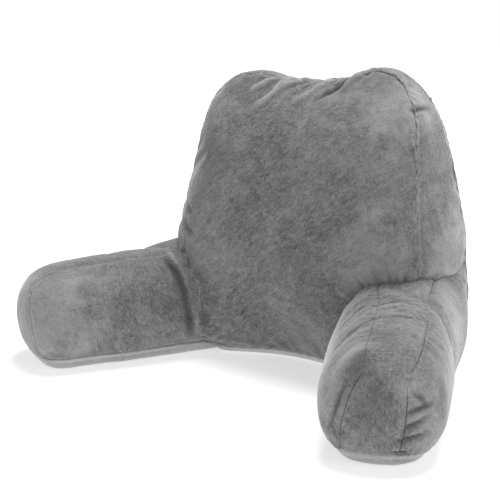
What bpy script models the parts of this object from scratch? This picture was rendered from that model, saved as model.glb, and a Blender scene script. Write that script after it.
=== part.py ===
"""Reading pillow: a crowned backrest between two arms, three filled bags of plush cloth.

Metres, +Z up. The sitter faces -Y, so the arms reach towards -Y and out to both sides.
Each bag starts as a cube whose faces are cut into a grid. A form function then carries every
point of that grid from its place q on the cube, -1 to 1 along each axis, to the bag.
"""

from collections import namedtuple

import bmesh
import bpy
import numpy as np

objectName = "reading_pillow"

# The gap where one bag is sewn to another, and how far a cutter reaches past the floor
clearance = 0.00035
cutterReach = 0.010

# Moves the origin to the middle of the footprint
originShift = np.array([0.0057, 0.0170, 0.0])

# Backrest: level runs from 0 at the floor to 1 at the top
backrestRows = (
    # level, half width, front, back
    (0.00, 0.232, 0.012, 0.197),
    (0.20, 0.240, 0.002, 0.197),
    (0.45, 0.236, 0.001, 0.199),
    (0.72, 0.216, 0.029, 0.180),
    (1.00, 0.216, 0.078, 0.134),
)
backrestSquareness = 4.7
backrestThickness = 0.66
backrestPress = 0.010
crown = 0.018
saddleHeight = 0.433
baseHollow = 0.040
ears = (
    # place across in half widths, width, rise
    (-0.62, 0.30, 0.011),
    (0.62, 0.36, 0.031),
)

# Filling that pushes the front panel forward
bulges = (
    # place across, width, level, height, forward
    (-0.80, 0.40, 0.08, 0.20, 0.085),
    (-0.90, 0.30, 0.30, 0.10, 0.022),
)

# Arms: the middle line starts inside the backrest, and its headings, at the rear, in the bow and
# at the front, are degrees outward of straight ahead
Arm = namedtuple("Arm", "name side startX startY length rear bow front heightRear heightFront")
arms = (
    Arm("left_arm", -1, 0.156, 0.156, 0.418, 12.7, 12.0, 25.5, 0.178, 0.150),
    Arm("right_arm", 1, 0.158, 0.157, 0.420, 10.0, 12.0, 22.8, 0.181, 0.150),
)
armWidthRear = 0.182
armWidthFront = 0.172
armSquareness = 2.4
armTopRoundness = 0.43
armBaseRoundness = 0.57
armEndLength = 0.0715
armStraight = 1.68
armPress = 0.008
armSeamRoll = 10.8

# The arms' tops rise towards the rear, where they are sewn to the backrest's sides
rearRise = 0.028
rearRiseLength = 0.108

# Seams sink into the cloth by their depth over their width
backrestSeam = (0.0035, 0.012)
armSeam = (0.0040, 0.012)

# Half sizes that turn distances on the cube into metres on the bags
backrestHalf = (0.235, 0.10, 0.22)
armHalf = (0.22, 0.085, 0.085)

# Points this low lie on the floor
onFloor = 1e-6

# Main folds, each along a soft curve through three points on its bag, before the origin's shift.
# A negative depth is a ridge.
folds = (
    # bag, start, middle, end, width, depth
    ("backrest", (-0.014, 0.068, 0.405), (0.020, 0.088, 0.428), (0.050, 0.102, 0.440), 0.010, -0.005),
    ("backrest", (0.023, 0.069, 0.408), (0.059, 0.080, 0.432), (0.092, 0.098, 0.452), 0.012, 0.006),
    ("backrest", (0.055, 0.075, 0.425), (0.077, 0.084, 0.441), (0.104, 0.095, 0.455), 0.010, -0.004),
    ("backrest", (-0.085, 0.056, 0.389), (-0.061, 0.069, 0.407), (-0.045, 0.092, 0.433), 0.012, -0.004),
    ("backrest", (0.186, 0.074, 0.408), (0.193, 0.089, 0.408), (0.194, 0.110, 0.408), 0.010, 0.007),
    ("backrest", (-0.194, 0.014, 0.233), (-0.182, 0.007, 0.229), (-0.165, 0.002, 0.226), 0.009, 0.004),
    ("left_arm", (-0.180, -0.046, 0.156), (-0.145, -0.044, 0.103), (-0.138, -0.033, 0.050), 0.012, 0.009),
    ("right_arm", (0.366, -0.199, 0.083), (0.376, -0.190, 0.089), (0.386, -0.168, 0.092), 0.009, 0.005),
    ("right_arm", (0.361, -0.205, 0.061), (0.372, -0.196, 0.068), (0.383, -0.176, 0.077), 0.009, 0.005),
    ("right_arm", (0.354, -0.209, 0.045), (0.369, -0.197, 0.050), (0.384, -0.175, 0.055), 0.009, 0.005),
    ("right_arm", (0.291, -0.228, 0.112), (0.283, -0.235, 0.082), (0.274, -0.235, 0.055), 0.010, 0.005),
    ("right_arm", (0.286, -0.176, 0.150), (0.280, -0.201, 0.144), (0.272, -0.228, 0.112), 0.011, -0.004),
)
foldSteps = 13

# Grid lines along each axis of the cube
backrestGrid = (26, 11, 26)
armGrid = (30, 11, 12)
plushGrey = (0.19, 0.19, 0.19, 1.0)


def curveThrough(places, rows, column):
    """A smooth curve through one column of the rows, read at each place."""
    at = np.array([row[0] for row in rows])
    values = np.array([row[column] for row in rows])
    slopes = np.gradient(values, at)
    i = np.clip(np.searchsorted(at, places) - 1, 0, len(at) - 2)
    gap = at[i + 1] - at[i]
    k = np.clip((places - at[i]) / gap, 0, 1)
    ends = (2 * k**3 - 3 * k**2 + 1) * values[i] + (3 * k**2 - 2 * k**3) * values[i + 1]
    turns = (k**3 - 2 * k**2 + k) * slopes[i] + (k**3 - k**2) * slopes[i + 1]
    return ends + gap * turns


def bell(distance, width):
    return np.exp(-((distance / width) ** 2))


def rounded(q, squareness):
    """Carries a point of the cube to a rounded box, from a ball at 2 to a sharp box."""
    reach = (np.abs(q) ** squareness).sum(axis=1, keepdims=True) ** (1 / squareness)
    return q / reach


def pressed(level, height, press):
    """Heights of a bag that its weight presses flat on the floor."""
    return np.maximum(level * (height + press) - press, 0)


def backrestForm(q):
    x, y, z = rounded(q * [1, backrestThickness, 1], backrestSquareness).T
    level = np.clip((1 + z) / 2, 0, 1)
    height = saddleHeight + sum(rise * bell(x - place, width) for place, width, rise in ears)
    front = curveThrough(level, backrestRows, 2)
    # The front panel's lower edge curves back between the arms
    across = 1 - np.clip(np.abs(x) / 0.85, 0, 1) ** 2
    front += baseHollow * across * np.clip(1 - 2 * level, 0, 1)
    back = curveThrough(level, backrestRows, 3)
    bulge = crown * (1 - x**2) * np.sin(np.pi * level)
    for place, width, at, tall, forward in bulges:
        bulge += forward * bell(x - place, width) * bell(level - at, tall)
    return np.stack(
        [
            x * curveThrough(level, backrestRows, 1),
            front + (back - front) * (1 + y) / 2 - bulge * np.clip(-y, 0, 1),
            pressed(level, height, backrestPress),
        ],
        axis=1,
    )


def armPath(along, arm):
    """Points of the arm's middle line, and its heading, at distances from the rear end."""
    steps = np.linspace(0, 1, 81)
    bow = arm.bow * 4 * steps * (1 - steps)
    heading = np.radians(arm.rear + (arm.front - arm.rear) * steps + bow)
    between = (heading[1:] + heading[:-1]) / 2
    stride = arm.length / len(between)
    x = arm.startX + stride * np.concatenate([[0], np.cumsum(np.sin(between))])
    y = arm.startY - stride * np.concatenate([[0], np.cumsum(np.cos(between))])
    at = steps * arm.length
    return np.interp(along, at, x), np.interp(along, at, y), np.interp(along, at, heading)


def armForm(q, arm):
    """q runs along the arm from its rear, across it from inside to outside, and up it."""
    roundness = armTopRoundness + (armBaseRoundness - armTopRoundness) * (1 - q[:, 2]) / 2
    reach = q[:, 0] * (1 + armStraight)
    capped = np.clip(np.abs(reach) - armStraight, 0, 1) * np.sign(reach)
    # The bag is sewn in rolled a little outwards, which turns its seams and not its form
    roll = np.radians(armSeamRoll)
    across = np.cos(roll) * roundness * q[:, 1] + np.sin(roll) * q[:, 2]
    up = np.cos(roll) * q[:, 2] - np.sin(roll) * roundness * q[:, 1]
    cap, across, up = rounded(np.stack([capped, across, up], axis=1), armSquareness).T
    straight = np.clip(reach / armStraight, -1, 1) * (arm.length / 2 - armEndLength)
    along = arm.length / 2 + straight + cap * armEndLength
    share = np.clip(along / arm.length, 0, 1)
    height = arm.heightRear + (arm.heightFront - arm.heightRear) * share
    height += rearRise * bell(along, rearRiseLength)
    x, y, heading = armPath(along, arm)
    out = across * (armWidthRear + (armWidthFront - armWidthRear) * share) / 2
    z = pressed((1 + up) / 2, height, armPress)
    return np.stack([arm.side * (x + np.cos(heading) * out), y + np.sin(heading) * out, z], axis=1)


def seamDistance(q, panelAxis, panelSide, halfSizes):
    """Metres from the seam that borders one panel of the cube."""
    others = [axis for axis in range(3) if axis != panelAxis]
    off = (1 - panelSide * q[:, panelAxis]) * halfSizes[panelAxis]
    inside = np.min([(1 - np.abs(q[:, axis])) * halfSizes[axis] for axis in others], axis=0)
    return off + inside


def foldDepth(points, bag):
    """How far the bag's folds sink or raise each point, less at each fold's ends."""
    depth = np.zeros(len(points))
    t = np.linspace(0, 1, foldSteps)[:, None]
    fade = 0.3 + 0.7 * np.sin(np.pi * t[:, 0])
    for name, start, middle, end, width, sunk in folds:
        if name == bag:
            curve = (1 - t) ** 2 * np.array(start) + t**2 * np.array(end)
            curve += 2 * t * (1 - t) * np.array(middle)
            gaps = np.linalg.norm(points[:, None] - curve[None], axis=2)
            depth += sunk * bell(gaps.min(axis=1), width) * fade[gaps.argmin(axis=1)]
    return depth


def gridCube(cuts):
    """A cube from -1 to 1, cut by evenly spaced planes, closer together at its edges."""
    grid = bmesh.new()
    bmesh.ops.create_cube(grid, size=2)
    for axis, count in enumerate(cuts):
        normal = [0, 0, 0]
        normal[axis] = 1
        for k in range(1, count):
            even = 2 * k / count - 1
            centre = [0, 0, 0]
            centre[axis] = 0.75 * even + 0.25 * np.sin(even * np.pi / 2)
            everything = grid.verts[:] + grid.edges[:] + grid.faces[:]
            bmesh.ops.bisect_plane(grid, geom=everything, plane_co=centre, plane_no=normal)
    return grid


def pointsOf(grid):
    return np.array([vertex.co for vertex in grid.verts])


def normalsOf(grid):
    grid.normal_update()
    return np.array([vertex.normal for vertex in grid.verts])


def movePoints(grid, points):
    for vertex, point in zip(grid.verts, points):
        vertex.co = point


def sink(grid, depth):
    """Moves each point into the bag by its own depth, and keeps the base flat."""
    points = pointsOf(grid)
    moved = points - normalsOf(grid) * depth[:, None]
    moved[:, 2] = np.where(points[:, 2] < onFloor, 0, np.maximum(moved[:, 2], 0))
    movePoints(grid, moved)


def backrestGridMesh():
    grid = gridCube(backrestGrid)
    q = pointsOf(grid)
    movePoints(grid, backrestForm(q))
    depth, width = backrestSeam
    front = seamDistance(q, 1, -1, backrestHalf)
    back = seamDistance(q, 1, 1, backrestHalf)
    seams = depth * (bell(front, width) + bell(back, width))
    sink(grid, seams + foldDepth(pointsOf(grid), "backrest"))
    return grid


def armGridMesh(arm):
    grid = gridCube(armGrid)
    q = pointsOf(grid)
    movePoints(grid, armForm(q, arm))
    if arm.side < 0:
        bmesh.ops.reverse_faces(grid, faces=grid.faces)
    depth, width = armSeam
    inner = seamDistance(q, 1, -1, armHalf)
    outer = seamDistance(q, 1, 1, armHalf)
    seams = depth * (bell(inner, width) + bell(outer, width))
    sink(grid, seams + foldDepth(pointsOf(grid), arm.name))
    # One way of splitting the faces, so that the arm and its seat match
    bmesh.ops.triangulate(grid, faces=grid.faces, quad_method="FIXED")
    return grid


def material():
    cloth = bpy.data.materials.new("plush")
    cloth.use_nodes = True
    shader = cloth.node_tree.nodes["Principled BSDF"]
    shader.inputs["Base Color"].default_value = plushGrey
    shader.inputs["Roughness"].default_value = 0.9
    shader.inputs["Metallic"].default_value = 0.0
    cloth.diffuse_color = plushGrey
    return cloth


def collectionNamed(name):
    found = bpy.data.collections.new(name)
    bpy.context.scene.collection.children.link(found)
    return found


def objectFrom(grid, name, collection):
    for face in grid.faces:
        face.smooth = True
    mesh = bpy.data.meshes.new(name)
    grid.to_mesh(mesh)
    grid.free()
    made = bpy.data.objects.new(name, mesh)
    collection.objects.link(made)
    return made


def armCutter(arm, collection):
    """The arm grown by the clearance, reaching below the floor."""
    grid = armGridMesh(arm)
    points = pointsOf(grid)
    grown = points + normalsOf(grid) * clearance
    grown[:, 2] = np.where(points[:, 2] < onFloor, -cutterReach, grown[:, 2])
    movePoints(grid, grown + originShift)
    cutter = objectFrom(grid, arm.name + "_seat", collection)
    cutter.hide_render = True
    cutter.display_type = "WIRE"
    return cutter


for old in list(bpy.data.objects):
    bpy.data.objects.remove(old)
for old in list(bpy.data.collections):
    bpy.data.collections.remove(old)

parts = collectionNamed(objectName)
cutters = collectionNamed(objectName + "_cutters")
plush = material()

backrestMesh = backrestGridMesh()
movePoints(backrestMesh, pointsOf(backrestMesh) + originShift)
backrest = objectFrom(backrestMesh, "backrest", parts)
backrest.data.materials.append(plush)

for row in arms:
    armMesh = armGridMesh(row)
    movePoints(armMesh, pointsOf(armMesh) + originShift)
    armObject = objectFrom(armMesh, row.name, parts)
    armObject.data.materials.append(plush)
    seat = backrest.modifiers.new(row.name + "_seat", "BOOLEAN")
    seat.operation = "DIFFERENCE"
    seat.object = armCutter(row, cutters)
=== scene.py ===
import math

import bpy
import numpy as np
from mathutils import Matrix, Vector


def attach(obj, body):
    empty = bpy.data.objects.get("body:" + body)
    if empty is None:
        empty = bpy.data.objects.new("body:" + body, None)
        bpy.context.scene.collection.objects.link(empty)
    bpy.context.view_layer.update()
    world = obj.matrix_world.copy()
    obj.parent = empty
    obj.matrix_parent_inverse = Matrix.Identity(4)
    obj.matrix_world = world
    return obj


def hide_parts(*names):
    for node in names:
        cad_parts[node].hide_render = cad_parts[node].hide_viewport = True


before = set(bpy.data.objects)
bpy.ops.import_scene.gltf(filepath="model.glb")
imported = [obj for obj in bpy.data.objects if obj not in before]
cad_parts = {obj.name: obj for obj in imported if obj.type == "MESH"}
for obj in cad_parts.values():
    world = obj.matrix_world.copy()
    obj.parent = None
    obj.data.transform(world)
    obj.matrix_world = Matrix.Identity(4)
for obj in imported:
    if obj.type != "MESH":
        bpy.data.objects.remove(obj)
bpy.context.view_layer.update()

print("frame loaded, nodes:", sorted(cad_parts))

originShift = np.array([0.0057, 0.0170, 0.0])  # forms are drawn from the front panel's foot
onFloor = 1e-6  # points this low lie on the floor
wavePeak = 1.2  # brings a sum of waves to about -1 to 1


# Shared helpers

# Gaussian bell: e to the power of minus the squared ratio of distance to width
def bell(distance, width):
    return np.exp(-((distance / width) ** 2))


# Smooth step from 0 at low to 1 at high: 3 t squared minus 2 t cubed
def rise(value, low, high):
    t = np.clip((value - low) / (high - low), 0, 1)
    return t * t * (3 - 2 * t)


# Sum of sines whose wavelengths scatter round one, from about -1 to 1
def ripple(places, seed, wavelength, spread=0.45, parts=7):
    rng = np.random.default_rng(seed)
    total = np.zeros(np.shape(places))
    for _ in range(parts):
        length = wavelength * (1 + spread * rng.uniform(-1, 1))
        total += np.sin(2 * np.pi * places / length + rng.uniform(0, 2 * np.pi))
    return total / parts**0.5 / wavePeak


# Sum of plane waves in random directions, an even lumpiness from about -1 to 1
def lumps(points, seed, size, parts=14, spread=(0.7, 1.5)):
    rng = np.random.default_rng(seed)
    total = np.zeros(len(points))
    for _ in range(parts):
        direction = rng.normal(size=3)
        direction *= 2 * np.pi / (size * rng.uniform(*spread)) / np.linalg.norm(direction)
        total += np.sin(points @ direction + rng.uniform(0, 2 * np.pi))
    return total / parts**0.5 / wavePeak


# Sum of lumpinesses, each an amount and a size
def lumpSum(points, rows, seed):
    return sum(amount * lumps(points, seed + k, size) for k, (amount, size) in enumerate(rows))


# Cubic through one column of the rows, each slope taken from the neighbouring rows
def curveThrough(places, rows, column):
    at = np.array([row[0] for row in rows])
    values = np.array([row[column] for row in rows])
    slopes = np.gradient(values, at)
    i = np.clip(np.searchsorted(at, places) - 1, 0, len(at) - 2)
    gap = at[i + 1] - at[i]
    k = np.clip((places - at[i]) / gap, 0, 1)
    ends = (2 * k**3 - 3 * k**2 + 1) * values[i] + (3 * k**2 - 2 * k**3) * values[i + 1]
    turns = (k**3 - 2 * k**2 + k) * slopes[i] + (k**3 - k**2) * slopes[i + 1]
    return ends + gap * turns


# Cube point over its own norm of this power: a ball at 2, sharper as the power grows
def rounded(q, squareness):
    reach = (np.abs(q) ** squareness).sum(axis=1, keepdims=True) ** (1 / squareness)
    return q / reach


# Level times height, sunk by press and cut off at the floor
def pressed(level, height, press):
    return np.maximum(level * (height + press) - press, 0)


# Cloth bags: grids, filling and relief

bagSizes = {
    "clothQuality": 5,
    "seamEdge": 0.002,  # this near a seam the cloth is held most
    "baseHold": (0.002, 0.012),  # held below the first height, free above the second
    "puckerSwell": (0.6, 0.4, 0.13),  # mean strength of puckers, its change and wavelength
    "foldSteps": 24,
    "foldFade": (0.12, 0.76),  # start and share of the half wave that fades its ends
    "foldReach": 0.10,
    "foldThickness": 0.02,
    "heightShare": 0.1,  # how much height counts in the distance from a fold
    "lipShare": 0.5,
    "ragged": ((0.22, 0.045), (0.14, 0.014)),  # amount and size, in radii and metres
    "sheenAndShadeEdge": (0.35, 1.35),  # full strength within the first, none beyond the second
    "stripEdge": (-0.003, 0.001),
}


# Six grids of two parameters on a cube from -1 to 1, their lines crowded towards its edges
def cubeShell(counts, crowd=0.45):
    lines = []
    for count in counts:
        even = np.linspace(-1, 1, count + 1)
        lines.append((1 - crowd) * even + crowd * np.sin(even * np.pi / 2))
    points, grids, start = [], [], 0
    for axis in range(3):
        first, second = (axis + 1) % 3, (axis + 2) % 3
        across, along = np.meshgrid(lines[first], lines[second], indexing="ij")
        for side in (-1, 1):
            face = np.empty(across.shape + (3,))
            face[..., axis], face[..., first], face[..., second] = side, across, along
            grids.append(np.arange(across.size).reshape(across.shape) + start)
            points.append(face.reshape(-1, 3))
            start += across.size
    points = np.concatenate(points)
    _, keep, merged = np.unique(
        np.round(points, 6), axis=0, return_index=True, return_inverse=True
    )
    merged = merged.reshape(-1)
    grids = [merged[grid] for grid in grids]
    quads = []
    for grid, side in zip(grids, (-1, 1) * 3):
        ring = [grid[:-1, :-1], grid[1:, :-1], grid[1:, 1:], grid[:-1, 1:]]
        quads.append(np.stack(ring[::side], axis=-1).reshape(-1, 4))
    return points[keep], np.concatenate(quads), grids


# Puts a line between each two of a grid, by the four-point rule (-1 9 9 -1) / 16
def halveLines(grid):
    wide = np.concatenate([2 * grid[:1] - grid[1:2], grid, 2 * grid[-1:] - grid[-2:-1]])
    finer = np.empty((2 * len(grid) - 1,) + grid.shape[1:])
    finer[::2] = grid
    finer[1::2] = (9 * (wide[1:-2] + wide[2:-1]) - wide[:-3] - wide[3:]) / 16
    return finer


# Carries moves known on each face's grid over to the grid with twice its lines
def refineMoves(moves, grids, finerGrids, count):
    finer = np.empty((count, 3))
    for grid, finerGrid in zip(grids, finerGrids):
        once = halveLines(moves[grid]).swapaxes(0, 1)
        finer[finerGrid] = halveLines(once).swapaxes(0, 1)
    return finer


# Normal at each point, from the cross product of each face's diagonals
def normalsOf(points, quads):
    corners = points[quads]
    cross = np.cross(corners[:, 2] - corners[:, 0], corners[:, 3] - corners[:, 1])
    total = np.zeros_like(points)
    for k in range(4):
        np.add.at(total, quads[:, k], cross)
    return total / np.maximum(np.linalg.norm(total, axis=1, keepdims=True), 1e-12)


# Moves each point along its normal by its height, and keeps the base flat
def push(points, quads, height):
    moved = points + normalsOf(points, quads) * height[:, None]
    moved[:, 2] = np.where(points[:, 2] < onFloor, 0, np.maximum(moved[:, 2], 0))
    return moved


# How far each point moves as its bag is filled: Cloth with pressure, seams and base held
def clothMoves(points, quads, held, look):
    start = points - look["inset"] * normalsOf(points, quads) * (1 - held)[:, None]
    mesh = bpy.data.meshes.new("clothTrial")
    mesh.from_pydata(start, [], quads)
    trial = bpy.data.objects.new("clothTrial", mesh)
    bpy.context.scene.collection.objects.link(trial)
    group = trial.vertex_groups.new(name="held")
    steps = np.round(held, 1)
    for level in np.unique(steps):
        group.add(np.flatnonzero(steps == level).tolist(), float(level), "REPLACE")
    cloth = trial.modifiers.new("cloth", "CLOTH")
    cloth.settings.quality = bagSizes["clothQuality"]
    cloth.settings.mass = look["mass"]
    cloth.settings.tension_stiffness = look["stretch"]
    cloth.settings.compression_stiffness = look["stretch"]
    cloth.settings.shear_stiffness = look["shear"]
    cloth.settings.bending_stiffness = look["bend"]
    cloth.settings.use_pressure = True
    cloth.settings.uniform_pressure_force = look["pressure"]
    cloth.settings.vertex_group_mass = "held"
    cloth.settings.shrink_min = -look["ease"]
    cloth.settings.effector_weights.gravity = 0
    cloth.collision_settings.use_collision = False
    cloth.point_cache.frame_start = 1
    cloth.point_cache.frame_end = look["frames"]
    for frameNumber in range(1, look["frames"] + 1):
        bpy.context.scene.frame_set(frameNumber)
    filled = trial.evaluated_get(bpy.context.evaluated_depsgraph_get())
    places = np.empty(len(points) * 3)
    filled.data.vertices.foreach_get("co", places)
    bpy.data.objects.remove(trial)
    bpy.data.meshes.remove(mesh)
    bpy.context.scene.frame_set(1)
    moves = places.reshape(-1, 3) - points
    reach = np.linalg.norm(moves, axis=1, keepdims=True)
    return moves * np.tanh(reach / look["cap"]) * look["cap"] / np.maximum(reach, 1e-9)


# The bag's form on its fine grid, moved as the cloth of its coarse grid moved
def fillBag(form, turned, counts, seamsOf, look, hiddenOf=None):
    coarse, quads, grids = cubeShell(counts)
    quads = quads[:, ::turned]
    points = form(coarse)
    inside = np.min([np.abs(seam[0]) for seam in seamsOf(coarse, points)], axis=0)
    held = look["seamHold"] * (1 - rise(inside, bagSizes["seamEdge"], look["seamReach"]))
    if hiddenOf:
        held = np.maximum(held, hiddenOf(points))
    held = np.maximum(held, 1 - rise(points[:, 2], *bagSizes["baseHold"]))
    moves = clothMoves(points, quads, held, look)
    fine, fineQuads, fineGrids = cubeShell([2 * count for count in counts])
    places = form(fine)
    moved = places + refineMoves(moves, grids, fineGrids, len(fine))
    moved[:, 2] = np.where(places[:, 2] < onFloor, 0, np.maximum(moved[:, 2], 0))
    return fine, moved, fineQuads[:, ::turned]


# Metres inside the seam round a panel, below 0 outside it, and the place along that seam.
# The lower seam runs at the foot's height; setBack moves a seam out of its panel.
def panelSeam(q, height, side, half, foot, setBack):
    off = (1 - side * q[:, 1]) * half[1]
    toSides = (1 - np.abs(q[:, 0])) * half[0]
    toTop = (1 - q[:, 2]) * half[2]
    toEnds = np.minimum(toTop, height - foot)
    place = np.where(toSides < toEnds, q[:, 2] * half[2], q[:, 0] * half[0] + 1)
    onPanel = np.minimum(toSides, toEnds)
    inside = np.where(off > onFloor, -off - np.abs(onPanel), onPanel)
    return inside + setBack, place


# Broad pinch, a narrow groove between two raised welts, and puckers that fade from it
def seamRelief(seam, look, seed):
    distance, place = np.abs(seam[0]), seam[1]
    pinch = look["pinch"] * bell(distance, look["pinchWidth"])
    groove = look["groove"] * bell(distance, look["grooveWidth"])
    welt = look["welt"] * bell(distance - look["weltPlace"], look["weltWidth"])
    mean, change, length = bagSizes["puckerSwell"]
    strength = mean + change * ripple(place, seed + 1, length)
    pucker = look["pucker"] * strength * ripple(place, seed, look["puckerLength"])
    pucker = pucker * np.exp(-distance / look["puckerReach"])
    return welt - pinch - groove + pucker


# Each fold is a trough along a quadratic curve through its points, with raised lips.
# Distances are taken along the surface, so a fold keeps its depth on swollen cloth.
def foldRelief(points, quads, rows):
    normals = normalsOf(points, quads)
    height = np.zeros(len(points))
    steps, (first, span) = bagSizes["foldSteps"], bagSizes["foldFade"]
    t = np.linspace(0, 1, steps + 1)[:, None]
    fade = np.sin(np.pi * (first + span * t[:, 0]))
    for start, middle, end, width, depth in rows:
        curve = (1 - t) ** 2 * np.array(start) + t**2 * np.array(end)
        curve = curve + 2 * t * (1 - t) * np.array(middle)
        fromMiddle = np.linalg.norm(points - curve[steps // 2], axis=1)
        near = np.flatnonzero(fromMiddle < bagSizes["foldReach"])
        apart = points[near, None] - curve[None]
        above = np.einsum("ijk,ik->ij", apart, normals[near])
        beside = np.maximum((apart**2).sum(axis=2) - above**2, 0)
        beside = beside + bagSizes["heightShare"] * above**2
        nearest = beside.argmin(axis=1)
        row = np.arange(len(near))
        gap = np.sqrt(beside[row, nearest]) / width
        lips = (1 - bagSizes["lipShare"] * gap**2) * np.exp(-(gap**2))
        lips = lips * bell(above[row, nearest], bagSizes["foldThickness"])
        height[near] -= depth * lips * fade[nearest]
    return height


# Painted sheen where the strength is positive, painted shade where it is negative, partly nap tone
# Sum of soft round areas, each a centre, a radius and a strength, with a ragged edge
def paintedSheenAndShadeAreas(points, rows, seed):
    ragged = lumpSum(points, bagSizes["ragged"], seed)
    total = np.zeros(len(points))
    for centre, radius, strength in rows:
        apart = np.linalg.norm(points - np.array(centre), axis=1) / radius + ragged
        total += strength * (1 - rise(apart, *bagSizes["sheenAndShadeEdge"]))
    return total


# Paleness of the strip between two seams, a slight tint plus painted light greater towards the floor
def stripTintAndPaintedLight(first, second, heights, look):
    strip = 1 - rise(np.maximum(first[0], second[0]), *bagSizes["stripEdge"])
    low = 1 - rise(heights, *look["lowEdge"])
    return strip * (look["pale"] + look["lowPaintedLight"] * low)


# Materials

# Node group with these input sockets and number outputs
def addGroup(name, inputs, outputs):
    group = bpy.data.node_groups.new(name, "ShaderNodeTree")
    for label, kind, value in inputs:
        socket = group.interface.new_socket(label, in_out="INPUT", socket_type=kind)
        if value is not None:
            socket.default_value = value
    for label in outputs:
        group.interface.new_socket(label, in_out="OUTPUT", socket_type="NodeSocketFloat")
    return group, group.nodes.new("NodeGroupInput"), group.nodes.new("NodeGroupOutput")


# Noise node whose vector and scale come from the given sockets
def addNoise(tree, vector, scale, detail, roughness, distortion):
    node = tree.nodes.new("ShaderNodeTexNoise")
    node.inputs["Detail"].default_value = detail
    node.inputs["Roughness"].default_value = roughness
    node.inputs["Distortion"].default_value = distortion
    tree.links.new(vector, node.inputs["Vector"])
    tree.links.new(scale, node.inputs["Scale"])
    return node.outputs["Fac"]


# Value carried in a straight line from one range to another, held at both ends
def addRange(tree, value, low, high, toLow=0.0, toHigh=1.0):
    node = tree.nodes.new("ShaderNodeMapRange")
    node.inputs["From Min"].default_value = low
    node.inputs["From Max"].default_value = high
    node.inputs["To Min"].default_value = toLow
    node.inputs["To Max"].default_value = toHigh
    tree.links.new(value, node.inputs["Value"])
    return node.outputs["Result"]


# Sum of sockets, each times its share
def addSum(tree, *parts):
    total = None
    for socket, share in parts:
        node = tree.nodes.new("ShaderNodeMath")
        node.operation = "MULTIPLY_ADD"
        tree.links.new(socket, node.inputs[0])
        node.inputs[1].default_value = share
        node.inputs[2].default_value = 0.0
        if total is not None:
            tree.links.new(total, node.inputs[2])
        total = node.outputs[0]
    return total


napLooks = {
    # scale, detail, roughness, distortion, range of noise, shares of the shade and the height
    "Area": (5.0, 2.0, 0.5, 1.0, 0.36, 0.62, 0.16, 0.0),
    "Patch": (17.0, 3.0, 0.55, 2.6, 0.38, 0.62, 0.20, 0.15),
    "Streak": (230.0, 2.0, 0.55, 1.0, 0.34, 0.66, 0.36, 0.45),
    "Grain": (420.0, 1.0, 0.5, 0.6, 0.40, 0.62, 0.28, 0.40),
}
streakStretch = (1.0, 1.0, 3.2)


# Short pile: broad brushed areas, crushed patches, streaks along the nap, tufted grain
def buildNapGroup():
    inputs = [
        ("Vector", "NodeSocketVector", None),
        ("Nap Turn", "NodeSocketVector", (0.0, 0.0, 0.0)),
    ]
    inputs += [(label + " Scale", "NodeSocketFloat", row[0]) for label, row in napLooks.items()]
    group, source, sink = addGroup("plushNap", inputs, ["Shade", "Height"])
    turned = group.nodes.new("ShaderNodeMapping")
    turned.vector_type = "TEXTURE"
    turned.inputs["Scale"].default_value = streakStretch
    group.links.new(source.outputs["Vector"], turned.inputs["Vector"])
    group.links.new(source.outputs["Nap Turn"], turned.inputs["Rotation"])
    shades, heights = [], []
    for label, (_, detail, rough, twist, low, high, shade, height) in napLooks.items():
        place = (turned if label == "Streak" else source).outputs["Vector"]
        noise = addNoise(group, place, source.outputs[label + " Scale"], detail, rough, twist)
        noise = addRange(group, noise, low, high)
        shades.append((noise, shade))
        if height:
            heights.append((noise, height))
    group.links.new(addSum(group, *shades), sink.inputs["Shade"])
    group.links.new(addSum(group, *heights), sink.inputs["Height"])
    return group


plushLooks = {
    "darkShade": (0.058, 0.058, 0.059, 1.0),
    "paleShade": (0.300, 0.300, 0.299, 1.0),
    # pale tint of strips and welts, and painted light: painted sheen on broad areas, painted light
    # on low strips
    "paleTintAndPaintedLight": (0.560, 0.560, 0.556, 1.0),
    # dark seam thread, and painted shade on dark areas, in fold troughs and in creases
    "threadAndPaintedShade": (0.045, 0.045, 0.045, 1.0),
    # painted highlight on fold ridges; then the shares of painted highlight and painted shade
    "paintedCrestHighlight": (0.450, 0.450, 0.448, 1.0),
    "crestHighlightShare": 0.65,
    "troughShadeShare": 0.80,
    # a ridge this high has its full painted highlight, a trough this deep its full painted shade
    "foldHeight": 0.004,  # a fold this high or deep has its full shade
    "threadEdges": (0.0004, 0.0020),
    "roughness": 0.9,
    "specular": 0.15,
    "sheen": 0.75,
    "sheenRoughness": 0.40,
    "bumpStrength": 0.45,
    "bumpDistance": 0.0015,
    # turn of the nap in degrees, and how dark the seam's line is
    "front": {"napTurn": (0, 52, 0), "thread": 0.30},
    "arm": {"napTurn": (35, 12, 0), "thread": 0.65},
}


# Blend of two colours by a factor socket; the first colour may be a socket
def addBlend(tree, factor, first, second):
    node = tree.nodes.new("ShaderNodeMix")
    node.data_type = "RGBA"
    tree.links.new(factor, node.inputs[0])
    if isinstance(first, tuple):
        node.inputs[6].default_value = first
    else:
        tree.links.new(first, node.inputs[6])
    node.inputs[7].default_value = second
    return node.outputs[2]


# Number that the mesh carries under this name
def addAttribute(tree, name):
    node = tree.nodes.new("ShaderNodeAttribute")
    node.attribute_name = name
    return node.outputs["Fac"]
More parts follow.
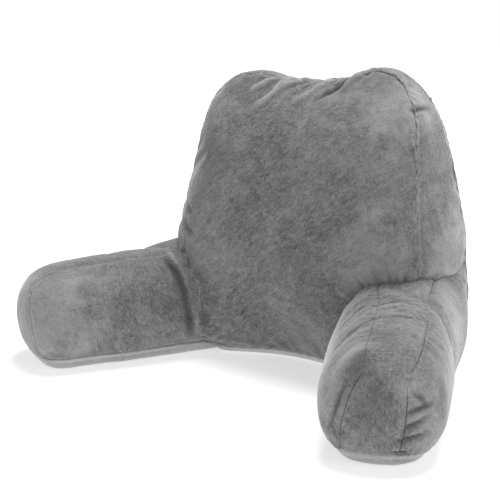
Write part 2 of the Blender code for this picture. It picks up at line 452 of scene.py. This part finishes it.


# Grey plush: nap shades from the group, then by attribute tint, painted light and shade on areas and
# folds, seams
def buildPlush(name, own):
    looks = plushLooks
    material = bpy.data.materials.new(name)
    material.use_nodes = True
    tree = material.node_tree
    shader = tree.nodes["Principled BSDF"]
    shader.inputs["Roughness"].default_value = looks["roughness"]
    shader.inputs["Specular IOR Level"].default_value = looks["specular"]
    shader.inputs["Sheen Weight"].default_value = looks["sheen"]
    shader.inputs["Sheen Roughness"].default_value = looks["sheenRoughness"]
    place = tree.nodes.new("ShaderNodeTexCoord")
    nap = tree.nodes.new("ShaderNodeGroup")
    nap.node_tree = napGroup
    nap.inputs["Nap Turn"].default_value = [math.radians(angle) for angle in own["napTurn"]]
    tree.links.new(place.outputs["Object"], nap.inputs["Vector"])
    pale, fold, seam = (addAttribute(tree, label) for label in ("pale", "fold", "seam"))
    high = looks["foldHeight"]
    tone = addBlend(tree, nap.outputs["Shade"], looks["darkShade"], looks["paleShade"])
    for factor, shade in (
        # pale tint and painted light, painted shade, painted highlight on ridges, painted shade in
        # troughs and creases, seam thread
        (addRange(tree, pale, 0.0, 1.0), "paleTintAndPaintedLight"),
        (addRange(tree, pale, 0.0, -1.0), "threadAndPaintedShade"),
        (addRange(tree, fold, 0.0, high, 0.0, looks["crestHighlightShare"]), "paintedCrestHighlight"),
        (addRange(tree, fold, 0.0, -high, 0.0, looks["troughShadeShare"]), "threadAndPaintedShade"),
        (addRange(tree, seam, *looks["threadEdges"], own["thread"], 0.0), "threadAndPaintedShade"),
    ):
        tone = addBlend(tree, factor, tone, looks[shade])
    tree.links.new(tone, shader.inputs["Base Color"])
    bump = tree.nodes.new("ShaderNodeBump")
    bump.inputs["Strength"].default_value = looks["bumpStrength"]
    bump.inputs["Distance"].default_value = looks["bumpDistance"]
    tree.links.new(nap.outputs["Height"], bump.inputs["Height"])
    tree.links.new(bump.outputs["Normal"], shader.inputs["Normal"])
    return material


# Mesh object of these points and quads, with float attributes for its material
def meshFrom(name, points, quads, material, **attributes):
    mesh = bpy.data.meshes.new(name)
    mesh.from_pydata(points, [], quads)
    for label, values in attributes.items():
        mesh.attributes.new(label, "FLOAT", "POINT").data.foreach_set("value", values)
    mesh.materials.append(material)
    mesh.shade_smooth()
    piece = bpy.data.objects.new(name, mesh)
    bpy.context.scene.collection.objects.link(piece)
    return piece


napGroup = buildNapGroup()
frontPlush = buildPlush("frontPlush", plushLooks["front"])
armPlush = buildPlush("armPlush", plushLooks["arm"])
print("materials made")


# Backrest

backrestSizes = {
    "counts": (74, 24, 74),
    "seeds": {
        "front": 3, "back": 5, "lumps": 11, "gathers": 41, "left": 51, "right": 53,
        "sheenAndShadeAreas": 61,
    },
    "rows": (
        # level, half width, front, back
        (0.00, 0.232, 0.012, 0.197),
        (0.20, 0.240, 0.002, 0.197),
        (0.45, 0.236, 0.001, 0.199),
        (0.72, 0.216, 0.029, 0.180),
        (1.00, 0.216, 0.078, 0.134),
    ),
    "squareness": 4.7,
    "thickness": 0.66,
    "press": 0.010,
    "crown": 0.018,
    "saddle": 0.433,
    "baseHollow": 0.040,
    "hollowWidth": 0.85,
    "ears": (
        # place across, width, rise
        (-0.62, 0.30, 0.011),
        (0.62, 0.36, 0.031),
    ),
    "bulges": (
        # place across, width, level, height, forward
        (-0.80, 0.40, 0.08, 0.20, 0.085),
        (-0.90, 0.30, 0.30, 0.10, 0.022),
    ),
    "half": (0.235, 0.10, 0.22),  # half sides by which seams measure their distances
    "sheenAndShadeAreas": (
        # centre, radius, strength: painted sheen where the strength is positive, painted shade where
        # negative
        ((-0.175, 0.020, 0.300), 0.075, -0.40),
        ((0.168, 0.068, 0.420), 0.062, 0.27),
        ((0.185, 0.030, 0.310), 0.065, 0.11),
        ((0.175, 0.000, 0.195), 0.070, 0.24),
        ((0.120, 0.050, 0.370), 0.060, 0.07),
        ((0.040, -0.010, 0.150), 0.070, -0.10),
        ((-0.115, 0.000, 0.175), 0.060, 0.14),
        ((-0.060, 0.075, 0.415), 0.055, 0.07),
        ((0.232, 0.100, 0.190), 0.055, 0.28),
        ((0.040, 0.085, 0.435), 0.050, 0.08),
        ((0.195, 0.085, 0.430), 0.040, 0.16),
        ((-0.188, 0.045, 0.350), 0.050, -0.45),
    ),
    "foot": 0.0090,
    "topSetBack": 0.026,
    "setBackReach": 0.05,
    "lumps": ((0.0008, 0.16), (0.0004, 0.05)),
    "gathers": {
        "height": 0.0026, "length": 0.019, "slant": (0.72, -0.70), "place": -0.02,
        "width": 0.16, "front": 0.6, "start": 0.014, "reach": 0.032,
    },
    "junction": {
        "left": 0.0045, "right": 0.0050, "width": 0.014, "pucker": 0.0010,
        "puckerPlace": 0.006, "puckerWidth": 0.014, "puckerLength": 0.017,
        # painted shade along the crease where an arm meets the backrest
        "creaseShadeAmount": 0.002, "creaseShadeWidth": 0.006,
    },
    # slight pale tint of the strips, with painted light on their low part
    "strip": {"pale": 0.06, "lowPaintedLight": 0.84, "lowEdge": (0.008, 0.012)},
    "weltPale": 0.17,
    "backSeamFade": 0.0012,
    "cloth": {
        "inset": 0.003, "mass": 0.3, "stretch": 15, "shear": 5, "bend": 1.5, "pressure": 4,
        "ease": 0.02, "frames": 20, "cap": 0.008, "seamReach": 0.012, "seamHold": 0.9,
    },
    "seam": {
        "pinch": 0.0030, "pinchWidth": 0.010, "groove": 0.0010, "grooveWidth": 0.0016,
        "welt": 0.0013, "weltPlace": 0.0046, "weltWidth": 0.0022,
        "pucker": 0.0010, "puckerLength": 0.018, "puckerReach": 0.018,
    },
    "backSeam": {
        "pinch": 0.0008, "pinchWidth": 0.016, "groove": 0.0003, "grooveWidth": 0.0020,
        "welt": 0.0003, "weltPlace": 0.0046, "weltWidth": 0.0022,
        "pucker": 0.0002, "puckerLength": 0.022, "puckerReach": 0.018,
    },
    "folds": (
        # start, middle, end, width, depth: a ridge where the depth is negative
        ((-0.014, 0.068, 0.405), (0.020, 0.088, 0.428), (0.050, 0.104, 0.440), 0.006, -0.0060),
        ((0.023, 0.069, 0.408), (0.059, 0.080, 0.432), (0.092, 0.098, 0.452), 0.006, 0.005),
        ((0.055, 0.075, 0.425), (0.077, 0.084, 0.441), (0.104, 0.095, 0.455), 0.006, -0.0060),
        ((-0.085, 0.056, 0.389), (-0.061, 0.069, 0.407), (-0.045, 0.092, 0.433), 0.006, -0.0055),
        ((-0.066, 0.078, 0.421), (-0.045, 0.092, 0.433), (-0.035, 0.108, 0.436), 0.005, -0.0055),
        ((-0.100, 0.071, 0.413), (-0.084, 0.080, 0.426), (-0.070, 0.090, 0.433), 0.005, -0.0055),
        ((-0.049, 0.080, 0.422), (-0.030, 0.091, 0.431), (-0.013, 0.101, 0.434), 0.005, -0.0055),
        ((0.186, 0.074, 0.408), (0.193, 0.089, 0.408), (0.194, 0.104, 0.407), 0.005, 0.004),
        ((-0.194, 0.014, 0.233), (-0.182, 0.007, 0.229), (-0.165, 0.002, 0.226), 0.007, 0.005),
        ((-0.191, 0.005, 0.207), (-0.174, -0.003, 0.200), (-0.158, -0.007, 0.195), 0.007, 0.004),
        ((-0.132, -0.027, 0.085), (-0.125, -0.024, 0.065), (-0.121, -0.017, 0.045), 0.006, 0.004),
        ((-0.180, -0.014, 0.166), (-0.170, -0.018, 0.158), (-0.159, -0.020, 0.151), 0.006, 0.003),
        ((-0.163, -0.017, 0.158), (-0.141, -0.022, 0.124), (-0.130, -0.019, 0.086), 0.004, -0.003),
        ((-0.132, -0.020, 0.086), (-0.129, -0.015, 0.062), (-0.124, -0.012, 0.044), 0.005, -0.004),
        ((0.233, 0.054, 0.187), (0.239, 0.095, 0.180), (0.233, 0.150, 0.150), 0.006, -0.003),
    ),
}


# Front surface of the backrest before its bulge, and the bulge: crown plus stuffed parts
def frontPanel(x, level, sizes):
    front = curveThrough(level, sizes["rows"], 2)
    across = 1 - np.clip(np.abs(x) / sizes["hollowWidth"], 0, 1) ** 2
    front += sizes["baseHollow"] * across * np.clip(1 - 2 * level, 0, 1)
    bulge = sizes["crown"] * (1 - x**2) * np.sin(np.pi * level)
    for at, wide, high, tall, forward in sizes["bulges"]:
        bulge += forward * bell(x - at, wide) * bell(level - high, tall)
    return front, bulge


# Rounded box whose width, front and back follow its level, bulging in front
def backrestForm(q, sizes):
    x, y, z = rounded(q * [1, sizes["thickness"], 1], sizes["squareness"]).T
    level = np.clip((1 + z) / 2, 0, 1)
    height = sizes["saddle"] + sum(up * bell(x - at, wide) for at, wide, up in sizes["ears"])
    front, bulge = frontPanel(x, level, sizes)
    back = curveThrough(level, sizes["rows"], 3)
    return np.stack(
        [
            x * curveThrough(level, sizes["rows"], 1),
            front + (back - front) * (1 + y) / 2 - bulge * np.clip(-y, 0, 1),
            pressed(level, height, sizes["press"]),
        ],
        axis=1,
    )


# Metres in front of the backrest's front panel
def frontGap(points, sizes):
    level = (points[:, 2] + sizes["press"]) / (sizes["saddle"] + sizes["press"])
    x = points[:, 0] / curveThrough(level, sizes["rows"], 1)
    front, bulge = frontPanel(np.clip(x, -1, 1), np.clip(level, 0, 1), sizes)
    return front - bulge - points[:, 1]


# Filled bag with its seams, gathers and folds, drawn in round both arms
def buildBackrest():
    sizes, seeds = backrestSizes, backrestSizes["seeds"]

    def seamsOf(q, points):
        toSides = (1 - np.abs(q[:, 0])) * sizes["half"][0]
        toTop = (1 - q[:, 2]) * sizes["half"][2]
        setBack = sizes["topSetBack"] * rise(toSides - toTop, 0.0, sizes["setBackReach"])
        return [
            panelSeam(q, points[:, 2], -1, sizes["half"], sizes["foot"], setBack),
            panelSeam(q, points[:, 2], 1, sizes["half"], sizes["foot"], 0.0),
        ]

    def form(q):
        return backrestForm(q, sizes)

    q, points, quads = fillBag(form, 1, sizes["counts"], seamsOf, sizes["cloth"])
    front, back = seamsOf(q, points)
    relief = seamRelief(front, sizes["seam"], seeds["front"])
    relief = relief + seamRelief(back, sizes["backSeam"], seeds["back"])
    relief += lumpSum(points, sizes["lumps"], seeds["lumps"])
    folds = foldRelief(points, quads, sizes["folds"])
    # Slanting gathers below the top edge
    look = sizes["gathers"]
    toTop = (1 - q[:, 2]) * sizes["half"][2]
    slant = points[:, 0] * look["slant"][0] + points[:, 2] * look["slant"][1]
    middle = bell(points[:, 0] - look["place"], look["width"])
    middle = middle * rise(-q[:, 1], 0.0, look["front"])
    below = rise(toTop, 0.0, look["start"]) * np.exp(-toTop / look["reach"])
    waves = ripple(slant, seeds["gathers"], look["length"])
    folds += look["height"] * middle * below * waves
    # Pulled in round both arms, with short puckers across the sewn line and painted shade along it
    look = sizes["junction"]
    creaseShade = np.zeros(len(points))
    for key in ("left", "right"):
        gap, place = armGap(points, armSizes[key])
        relief -= look[key] * bell(gap, look["width"])
        puckers = bell(gap - look["puckerPlace"], look["puckerWidth"])
        folds += look["pucker"] * puckers * ripple(place, seeds[key], look["puckerLength"])
        creaseShade -= look["creaseShadeAmount"] * bell(gap, look["creaseShadeWidth"])
    relief += folds
    points = push(points, quads, relief)
    # Pale tint of strips and welts, painted light low on the strips, painted sheen and shade on
    # broad areas
    welts = bell(np.abs(front[0]) - sizes["seam"]["weltPlace"], sizes["seam"]["weltWidth"])
    pale = stripTintAndPaintedLight(front, back, points[:, 2], sizes["strip"]) + sizes["weltPale"] * welts
    pale += paintedSheenAndShadeAreas(points, sizes["sheenAndShadeAreas"], seeds["sheenAndShadeAreas"])
    # fold also carries the painted highlights on ridges and painted shade in troughs and along the
    # creases
    return meshFrom(
        "backrestCushion", points + originShift, quads, frontPlush,
        seam=np.minimum(np.abs(front[0]), np.abs(back[0]) + sizes["backSeamFade"]),
        pale=pale, fold=folds + creaseShade,
    )


# Arms

armSizes = {
    "counts": (116, 30, 30),
    "seeds": {"inner": 21, "outer": 23, "lumps": 31, "fan": 33, "sheenAndShadeAreas": 63},
    "pathSteps": 80,
    # headings in degrees at the rear, bow between and at the front; heights at both ends;
    # painted sheen and shade areas and folds have the same columns as the backrest's
    "left": {
        "side": -1, "start": (0.156, 0.156), "length": 0.418,
        "headings": (12.7, 12.0, 25.5), "heights": (0.178, 0.150), "fan": 0.0006, "neck": 0.003,
        "pale": 0.035,
        # painted sheen where the strength is positive, painted shade where it is negative
        "sheenAndShadeAreas": (
            ((-0.280, -0.215, 0.090), 0.090, 0.24),
            ((-0.240, -0.160, 0.140), 0.045, 0.09),
            ((-0.165, -0.045, 0.110), 0.040, -0.22),
        ),
    },
    "right": {
        "side": 1, "start": (0.158, 0.157), "length": 0.420,
        "headings": (10.0, 12.0, 22.8), "heights": (0.181, 0.150), "fan": 0.0013, "neck": 0.004,
        "pale": -0.03,
        # painted sheen where the strength is positive, painted shade where it is negative
        "sheenAndShadeAreas": (
            ((0.246, -0.200, 0.125), 0.040, 0.11),
            ((0.270, -0.228, 0.088), 0.034, 0.24),
            ((0.293, -0.207, 0.138), 0.023, -0.55),
            ((0.296, -0.148, 0.157), 0.026, -0.30),
            ((0.330, -0.222, 0.085), 0.040, -0.30),
            ((0.368, -0.095, 0.100), 0.065, -0.50),
            ((0.356, -0.198, 0.115), 0.018, 0.18),
            ((0.374, -0.168, 0.085), 0.048, 0.30),
            ((0.190, -0.035, 0.150), 0.040, -0.22),
            ((0.262, 0.055, 0.165), 0.042, 0.26),
        ),
    },
    "widths": (0.182, 0.172),
    "squareness": 2.4,
    "topRoundness": 0.43,
    "baseRoundness": 0.57,
    "endLength": 0.0715,
    "straight": 1.68,
    "press": 0.008,
    "seamRoll": 10.8,
    "rearRise": 0.028,
    "rearRiseLength": 0.108,
    "half": (0.22, 0.085, 0.085),
    "foot": 0.0205,
    "seamDrift": {"most": 0.016, "reach": 0.05, "heights": (0.06, 0.12)},
    "hiddenDepth": 0.03,
    "lumps": ((0.0007, 0.12), (0.0003, 0.04)),
    "neckEdges": {"gap": (-0.002, 0.022), "low": (0.006, 0.05), "high": (0.135, 0.175)},
    "fanWaves": {
        "heights": (0.05, 0.11), "across": (0.29, 0.33), "place": 0.032, "width": 0.026,
        "lean": 0.02, "length": 0.0105, "spread": 0.3,
    },
    # slight pale tint of the strips, with painted light on their low part
    "strip": {"pale": 0.03, "lowPaintedLight": 0.45, "lowEdge": (0.018, 0.024)},
    "cloth": {
        "inset": 0.003, "mass": 0.3, "stretch": 15, "shear": 5, "bend": 3, "pressure": 4,
        "ease": 0.006, "frames": 20, "cap": 0.006, "seamReach": 0.014, "seamHold": 0.9,
    },
    "seam": {
        "pinch": 0.0035, "pinchWidth": 0.010, "groove": 0.0010, "grooveWidth": 0.0016,
        "welt": 0.0007, "weltPlace": 0.0036, "weltWidth": 0.0018,
        "pucker": 0.0007, "puckerLength": 0.013, "puckerReach": 0.014,
    },
    "leftFolds": (
        ((-0.189, -0.041, 0.158), (-0.154, -0.044, 0.122), (-0.150, -0.034, 0.042), 0.0088, 0.0080),
        ((-0.177, -0.033, 0.156), (-0.141, -0.042, 0.122), (-0.140, -0.028, 0.040), 0.0030, -0.0025),
        ((-0.217, -0.016, 0.167), (-0.186, -0.033, 0.160), (-0.173, -0.038, 0.152), 0.006, -0.003),
    ),
    "rightFolds": (
        ((0.366, -0.199, 0.083), (0.376, -0.190, 0.089), (0.386, -0.168, 0.092), 0.0045, 0.0045),
        ((0.361, -0.205, 0.061), (0.372, -0.196, 0.068), (0.383, -0.176, 0.077), 0.0045, 0.0045),
        ((0.354, -0.209, 0.045), (0.369, -0.197, 0.050), (0.384, -0.175, 0.055), 0.0045, 0.0045),
        ((0.347, -0.206, 0.027), (0.354, -0.198, 0.026), (0.364, -0.193, 0.028), 0.0045, 0.004),
        ((0.290, -0.225, 0.113), (0.281, -0.229, 0.088), (0.273, -0.232, 0.057), 0.0050, 0.0045),
        ((0.286, -0.176, 0.150), (0.280, -0.201, 0.144), (0.272, -0.228, 0.112), 0.0100, -0.004),
        ((0.197, -0.037, 0.161), (0.230, -0.021, 0.168), (0.245, 0.011, 0.160), 0.0035, -0.0022),
        ((0.217, -0.060, 0.160), (0.243, -0.040, 0.166), (0.259, 0.000, 0.154), 0.0035, 0.0026),
        ((0.233, -0.082, 0.159), (0.258, -0.057, 0.164), (0.281, -0.026, 0.153), 0.0035, -0.0022),
        ((0.245, -0.102, 0.156), (0.277, -0.086, 0.164), (0.296, -0.046, 0.150), 0.0035, 0.0026),
        ((0.183, -0.030, 0.159), (0.170, -0.046, 0.148), (0.171, -0.073, 0.132), 0.0040, -0.003),
        ((0.206, -0.051, 0.160), (0.188, -0.072, 0.150), (0.199, -0.120, 0.133), 0.0040, 0.0035),
        ((0.226, -0.074, 0.158), (0.219, -0.114, 0.154), (0.221, -0.157, 0.132), 0.0040, -0.003),
        ((0.244, -0.100, 0.157), (0.235, -0.138, 0.152), (0.241, -0.190, 0.130), 0.0040, 0.0035),
        ((0.261, -0.126, 0.155), (0.248, -0.157, 0.148), (0.254, -0.210, 0.125), 0.0040, -0.003),
        ((0.227, -0.069, 0.160), (0.250, -0.045, 0.165), (0.277, -0.028, 0.158), 0.0050, -0.0025),
        ((0.368, -0.191, 0.108), (0.377, -0.184, 0.102), (0.381, -0.179, 0.093), 0.005, 0.003),
    ),
}


# Running sum of short steps whose heading turns from rear to front, bowed between
def armPath(arm):
    steps = np.linspace(0, 1, armSizes["pathSteps"] + 1)
    rear, bow, front = arm["headings"]
    heading = np.radians(rear + (front - rear) * steps + bow * 4 * steps * (1 - steps))
    between = (heading[1:] + heading[:-1]) / 2
    stride = arm["length"] / len(between)
    x = arm["start"][0] + stride * np.concatenate([[0], np.cumsum(np.sin(between))])
    y = arm["start"][1] - stride * np.concatenate([[0], np.cumsum(np.cos(between))])
    return steps * arm["length"], x, y, heading


# Width and height of an arm's section at a distance along it
def armSection(along, arm, sizes):
    share = np.clip(along / arm["length"], 0, 1)
    width = sizes["widths"][0] + (sizes["widths"][1] - sizes["widths"][0]) * share
    height = arm["heights"][0] + (arm["heights"][1] - arm["heights"][0]) * share
    return width, height + sizes["rearRise"] * bell(along, sizes["rearRiseLength"])


# Rounded section carried along the path, closed by rounded ends, pressed flat below
def armForm(q, arm, sizes):
    top, base = sizes["topRoundness"], sizes["baseRoundness"]
    roundness = top + (base - top) * (1 - q[:, 2]) / 2
    straight, endLength, length = sizes["straight"], sizes["endLength"], arm["length"]
    reach = q[:, 0] * (1 + straight)
    capped = np.clip(np.abs(reach) - straight, 0, 1) * np.sign(reach)
    roll = math.radians(sizes["seamRoll"])
    across = math.cos(roll) * roundness * q[:, 1] + math.sin(roll) * q[:, 2]
    up = math.cos(roll) * q[:, 2] - math.sin(roll) * roundness * q[:, 1]
    cap, across, up = rounded(np.stack([capped, across, up], axis=1), sizes["squareness"]).T
    along = length / 2 + np.clip(reach / straight, -1, 1) * (length / 2 - endLength)
    along = along + cap * endLength
    width, height = armSection(along, arm, sizes)
    at, x, y, heading = armPath(arm)
    x, y, heading = (np.interp(along, at, line) for line in (x, y, heading))
    out = across * width / 2
    z = pressed((1 + up) / 2, height, sizes["press"])
    points = [arm["side"] * (x + np.cos(heading) * out), y + np.sin(heading) * out, z]
    return np.stack(points, axis=1)


# Metres outside an arm's section, and the place round that section
def armGap(points, arm):
    sizes = armSizes
    at, x, y, heading = armPath(arm)
    dx = arm["side"] * points[:, :1] - x
    dy = points[:, 1:2] - y
    k = (dx**2 + dy**2).argmin(axis=1)
    row = np.arange(len(points))
    out = np.cos(heading[k]) * dx[row, k] + np.sin(heading[k]) * dy[row, k]
    width, height = armSection(at[k], arm, sizes)
    halfHeight = (height + sizes["press"]) / 2
    u = out / (width / 2)
    v = (points[:, 2] + sizes["press"] - halfHeight) / halfHeight
    power = sizes["squareness"]
    ratio = (np.abs(u) ** power + np.abs(v) ** power) ** (1 / power)
    return (ratio - 1) * halfHeight, np.arctan2(v, u) * halfHeight


# Filled bag with its seams and folds, drawn in and wrinkled at its sewn line
def buildArm(key):
    sizes, seeds, arm = armSizes, armSizes["seeds"], armSizes[key]

    def form(q):
        return armForm(q, arm, sizes)

    def seamsOf(q, points):
        look, gap = sizes["seamDrift"], frontGap(points, backrestSizes)
        drift = look["most"] * (1 - rise(gap, 0.0, look["reach"]))
        drift = drift * rise(points[:, 2], *look["heights"])
        return [
            panelSeam(q, points[:, 2], -1, sizes["half"], sizes["foot"], -drift),
            panelSeam(q, points[:, 2], 1, sizes["half"], sizes["foot"], drift),
        ]

    def hiddenOf(points):
        return 1 - rise(frontGap(points, backrestSizes), -sizes["hiddenDepth"], 0.0)

    q, points, quads = fillBag(
        form, arm["side"], sizes["counts"], seamsOf, sizes["cloth"], hiddenOf
    )
    inner, outer = seamsOf(q, points)
    relief = seamRelief(inner, sizes["seam"], seeds["inner"])
    relief = relief + seamRelief(outer, sizes["seam"], seeds["outer"])
    relief += lumpSum(points, sizes["lumps"], seeds["lumps"])
    folds = foldRelief(points, quads, sizes[key + "Folds"])
    # Pulled in at the sewn line, with wrinkles that run beside it
    gap = frontGap(points, backrestSizes)
    heights = points[:, 2]
    look = sizes["neckEdges"]
    between = rise(heights, *look["low"]) * (1 - rise(heights, *look["high"]))
    relief -= arm["neck"] * (1 - rise(gap, *look["gap"])) * between
    look = sizes["fanWaves"]
    upper = rise(heights, *look["heights"])
    upper = upper * (1 - rise(np.abs(points[:, 0]), *look["across"]))
    beside = bell(gap - look["place"], look["width"]) * upper
    across = gap + look["lean"] * heights
    waves = ripple(across, seeds["fan"], look["length"], look["spread"])
    folds += arm["fan"] * beside * waves
    relief += folds
    points = push(points, quads, relief)
    # Pale tint of the arm and its strips, painted light low on the strips, painted sheen and shade
    # on broad areas
    pale = arm["pale"] + stripTintAndPaintedLight(inner, outer, points[:, 2], sizes["strip"])
    pale += paintedSheenAndShadeAreas(points, arm["sheenAndShadeAreas"], seeds["sheenAndShadeAreas"])
    # fold also carries the painted highlights on ridges and painted shade in troughs
    return meshFrom(
        key + "ArmCushion", points + originShift, quads, armPlush,
        seam=np.minimum(np.abs(inner[0]), np.abs(outer[0])), pale=pale, fold=folds,
    )


# Cuts the seats of the arms out of the backrest, each arm grown by the clearance
# and carried down through the floor
def recess(piece, others, clearance=0.0003, underFloor=-0.01):
    for other in others:
        cutter = other.copy()
        cutter.data = other.data.copy()
        bpy.context.scene.collection.objects.link(cutter)
        count = len(cutter.data.vertices)
        places, normals = np.empty(count * 3), np.empty(count * 3)
        cutter.data.vertices.foreach_get("co", places)
        cutter.data.vertices.foreach_get("normal", normals)
        places, normals = places.reshape(-1, 3), normals.reshape(-1, 3)
        grown = places + normals * clearance
        grown[:, 2] = np.where(places[:, 2] < onFloor, underFloor, grown[:, 2])
        cutter.data.vertices.foreach_set("co", grown.ravel())
        cut = piece.modifiers.new("seat", "BOOLEAN")
        cut.operation = "DIFFERENCE"
        cut.solver = "MANIFOLD"
        cut.object = cutter
        graph = bpy.context.evaluated_depsgraph_get()
        solid = bpy.data.meshes.new_from_object(piece.evaluated_get(graph))
        piece.modifiers.clear()
        old, piece.data = piece.data, solid
        bpy.data.meshes.remove(old)
        used = cutter.data
        bpy.data.objects.remove(cutter)
        bpy.data.meshes.remove(used)
    piece.data.shade_smooth()


leftArm = buildArm("left")
rightArm = buildArm("right")
print("arms made")
backrest = buildBackrest()
recess(backrest, (leftArm, rightArm))
print("backrest made,", len(backrest.data.polygons), "faces")

for piece, node, slotName in (
    (backrest, "backrest", "plush"),
    (leftArm, "left_arm", "plush_arm"),
    (rightArm, "right_arm", "plush_arm"),
):
    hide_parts(node)
    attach(piece, "root")


# Studio: pale floor, soft light and the camera

studio = {
    "floorSize": 60.0,
    "floorHeight": -0.0002,
    "floorRoughness": 0.9,
    "floorSpecular": 0.1,
    "floorColour": (0.90, 0.90, 0.905, 1.0),
    "floorGlow": 0.47,
    "farGlow": 0.62,  # keeps the floor white where the lamps no longer reach
    "nearEdge": 2.5,
    "farEdge": 7.0,
    "worldStrength": 0.44,
    "aim": (0.0, -0.05, 0.15),
    "lamps": (
        # name, place, size, power
        ("keyLamp", (0.1, 0.7, 3.0), 1.7, 78.0),
        ("sideLamp", (2.6, -0.2, 1.5), 1.0, 9.0),
    ),
}


# Flat sheet of paper, whose glow grows with the distance from the origin
def buildFloor():
    edge = np.linspace(-1, 1, 3) * studio["floorSize"] / 2
    across, deep = np.meshgrid(edge, edge, indexing="ij")
    level = np.full(across.size, studio["floorHeight"])
    points = np.stack([across.ravel(), deep.ravel(), level], axis=1)
    quads = np.array([[0, 3, 4, 1], [1, 4, 5, 2], [3, 6, 7, 4], [4, 7, 8, 5]])
    material = bpy.data.materials.new("floorPaper")
    material.use_nodes = True
    tree = material.node_tree
    shader = tree.nodes["Principled BSDF"]
    shader.inputs["Base Color"].default_value = studio["floorColour"]
    shader.inputs["Roughness"].default_value = studio["floorRoughness"]
    shader.inputs["Specular IOR Level"].default_value = studio["floorSpecular"]
    shader.inputs["Emission Strength"].default_value = 1.0
    place = tree.nodes.new("ShaderNodeTexCoord")
    reach = tree.nodes.new("ShaderNodeVectorMath")
    reach.operation = "LENGTH"
    tree.links.new(place.outputs["Object"], reach.inputs[0])
    glow = addRange(
        tree, reach.outputs["Value"], studio["nearEdge"], studio["farEdge"],
        studio["floorGlow"], studio["farGlow"],
    )
    tree.links.new(glow, shader.inputs["Emission Color"])
    meshFrom("floorSheet", points, quads, material)


# Round lamp that faces the aim
def addLamp(name, place, size, power):
    data = bpy.data.lights.new(name, "AREA")
    data.shape = "DISK"
    data.size = size
    data.energy = power
    lamp = bpy.data.objects.new(name, data)
    lamp.location = place
    towards = Vector(studio["aim"]) - Vector(place)
    lamp.rotation_euler = towards.to_track_quat("-Z", "Y").to_euler()
    bpy.context.scene.collection.objects.link(lamp)


# Even white light from all round
def addWorld():
    world = bpy.data.worlds.new("studioWorld")
    world.use_nodes = True
    background = world.node_tree.nodes["Background"]
    background.inputs["Color"].default_value = (1.0, 1.0, 1.0, 1.0)
    background.inputs["Strength"].default_value = studio["worldStrength"]
    bpy.context.scene.world = world


cameraSizes = {
    "target": (0.0306, -0.0752, 0.2165),
    "azimuth": 40.49,
    "elevation": 15.0,
    "distance": 1.957,
    "fieldOfView": 20.62,
    "roll": -1.43,
}


# Camera at a distance from its target, by azimuth and elevation, rolled about its view
def addCamera():
    turn, lift, roll = (
        math.radians(cameraSizes[name]) for name in ("azimuth", "elevation", "roll")
    )
    flat = math.cos(lift)
    back = Vector((math.sin(turn) * flat, -math.cos(turn) * flat, math.sin(lift)))
    level = Vector((math.cos(turn), math.sin(turn), 0.0))
    above = back.cross(level)
    right = level * math.cos(roll) + above * math.sin(roll)
    up = above * math.cos(roll) - level * math.sin(roll)
    data = bpy.data.cameras.new("studioCamera")
    data.sensor_fit = "HORIZONTAL"
    data.angle = math.radians(cameraSizes["fieldOfView"])
    camera = bpy.data.objects.new("studioCamera", data)
    matrix = Matrix((right, up, back)).transposed().to_4x4()
    matrix.translation = Vector(cameraSizes["target"]) + back * cameraSizes["distance"]
    camera.matrix_world = matrix
    bpy.context.scene.collection.objects.link(camera)
    bpy.context.scene.camera = camera


buildFloor()
for lampRow in studio["lamps"]:
    addLamp(*lampRow)
addWorld()
addCamera()
bpy.context.scene.view_settings.view_transform = "Standard"
print("studio made")
